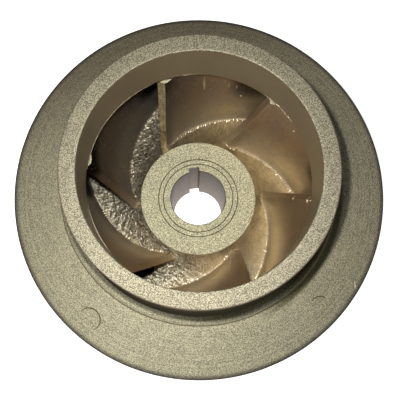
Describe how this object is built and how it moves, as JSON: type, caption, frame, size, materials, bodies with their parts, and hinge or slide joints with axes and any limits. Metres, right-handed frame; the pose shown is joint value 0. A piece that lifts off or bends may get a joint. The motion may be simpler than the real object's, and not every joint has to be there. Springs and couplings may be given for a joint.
{
  "type": "pump impeller",
  "caption": "Closed centrifugal pump impeller cast in bronze: backward-curved vanes between two shrouds, a machined suction eye ring and a hub bored for a keyed shaft.",
  "frame": {"origin": "centre of the hub's rear face, the lowest face, on the shaft axis", "axes": "+Z along the shaft axis towards the suction eye, +Y through the middle of the keyway"},
  "size_m": [0.2032, 0.2032, 0.1144],
  "materials": {
    "machined_bronze": "turned, then bead-blasted to a fine even grain",
    "blasted_bronze": "turned in faint rings, then bead-blasted, greenish gold",
    "as_cast_bronze": "sand-cast skin, brown gold, rough on the floor and smoother on the vanes"
  },
  "bodies": {
    "root": {"hub": "machined_bronze", "eye_ring": "machined_bronze", "front_shroud": "blasted_bronze", "back_shroud": "as_cast_bronze", "vane_1": "as_cast_bronze", "vane_2": "as_cast_bronze", "vane_3": "as_cast_bronze", "vane_4": "as_cast_bronze", "vane_5": "as_cast_bronze", "vane_6": "as_cast_bronze"}
  },
  "joints": []
}
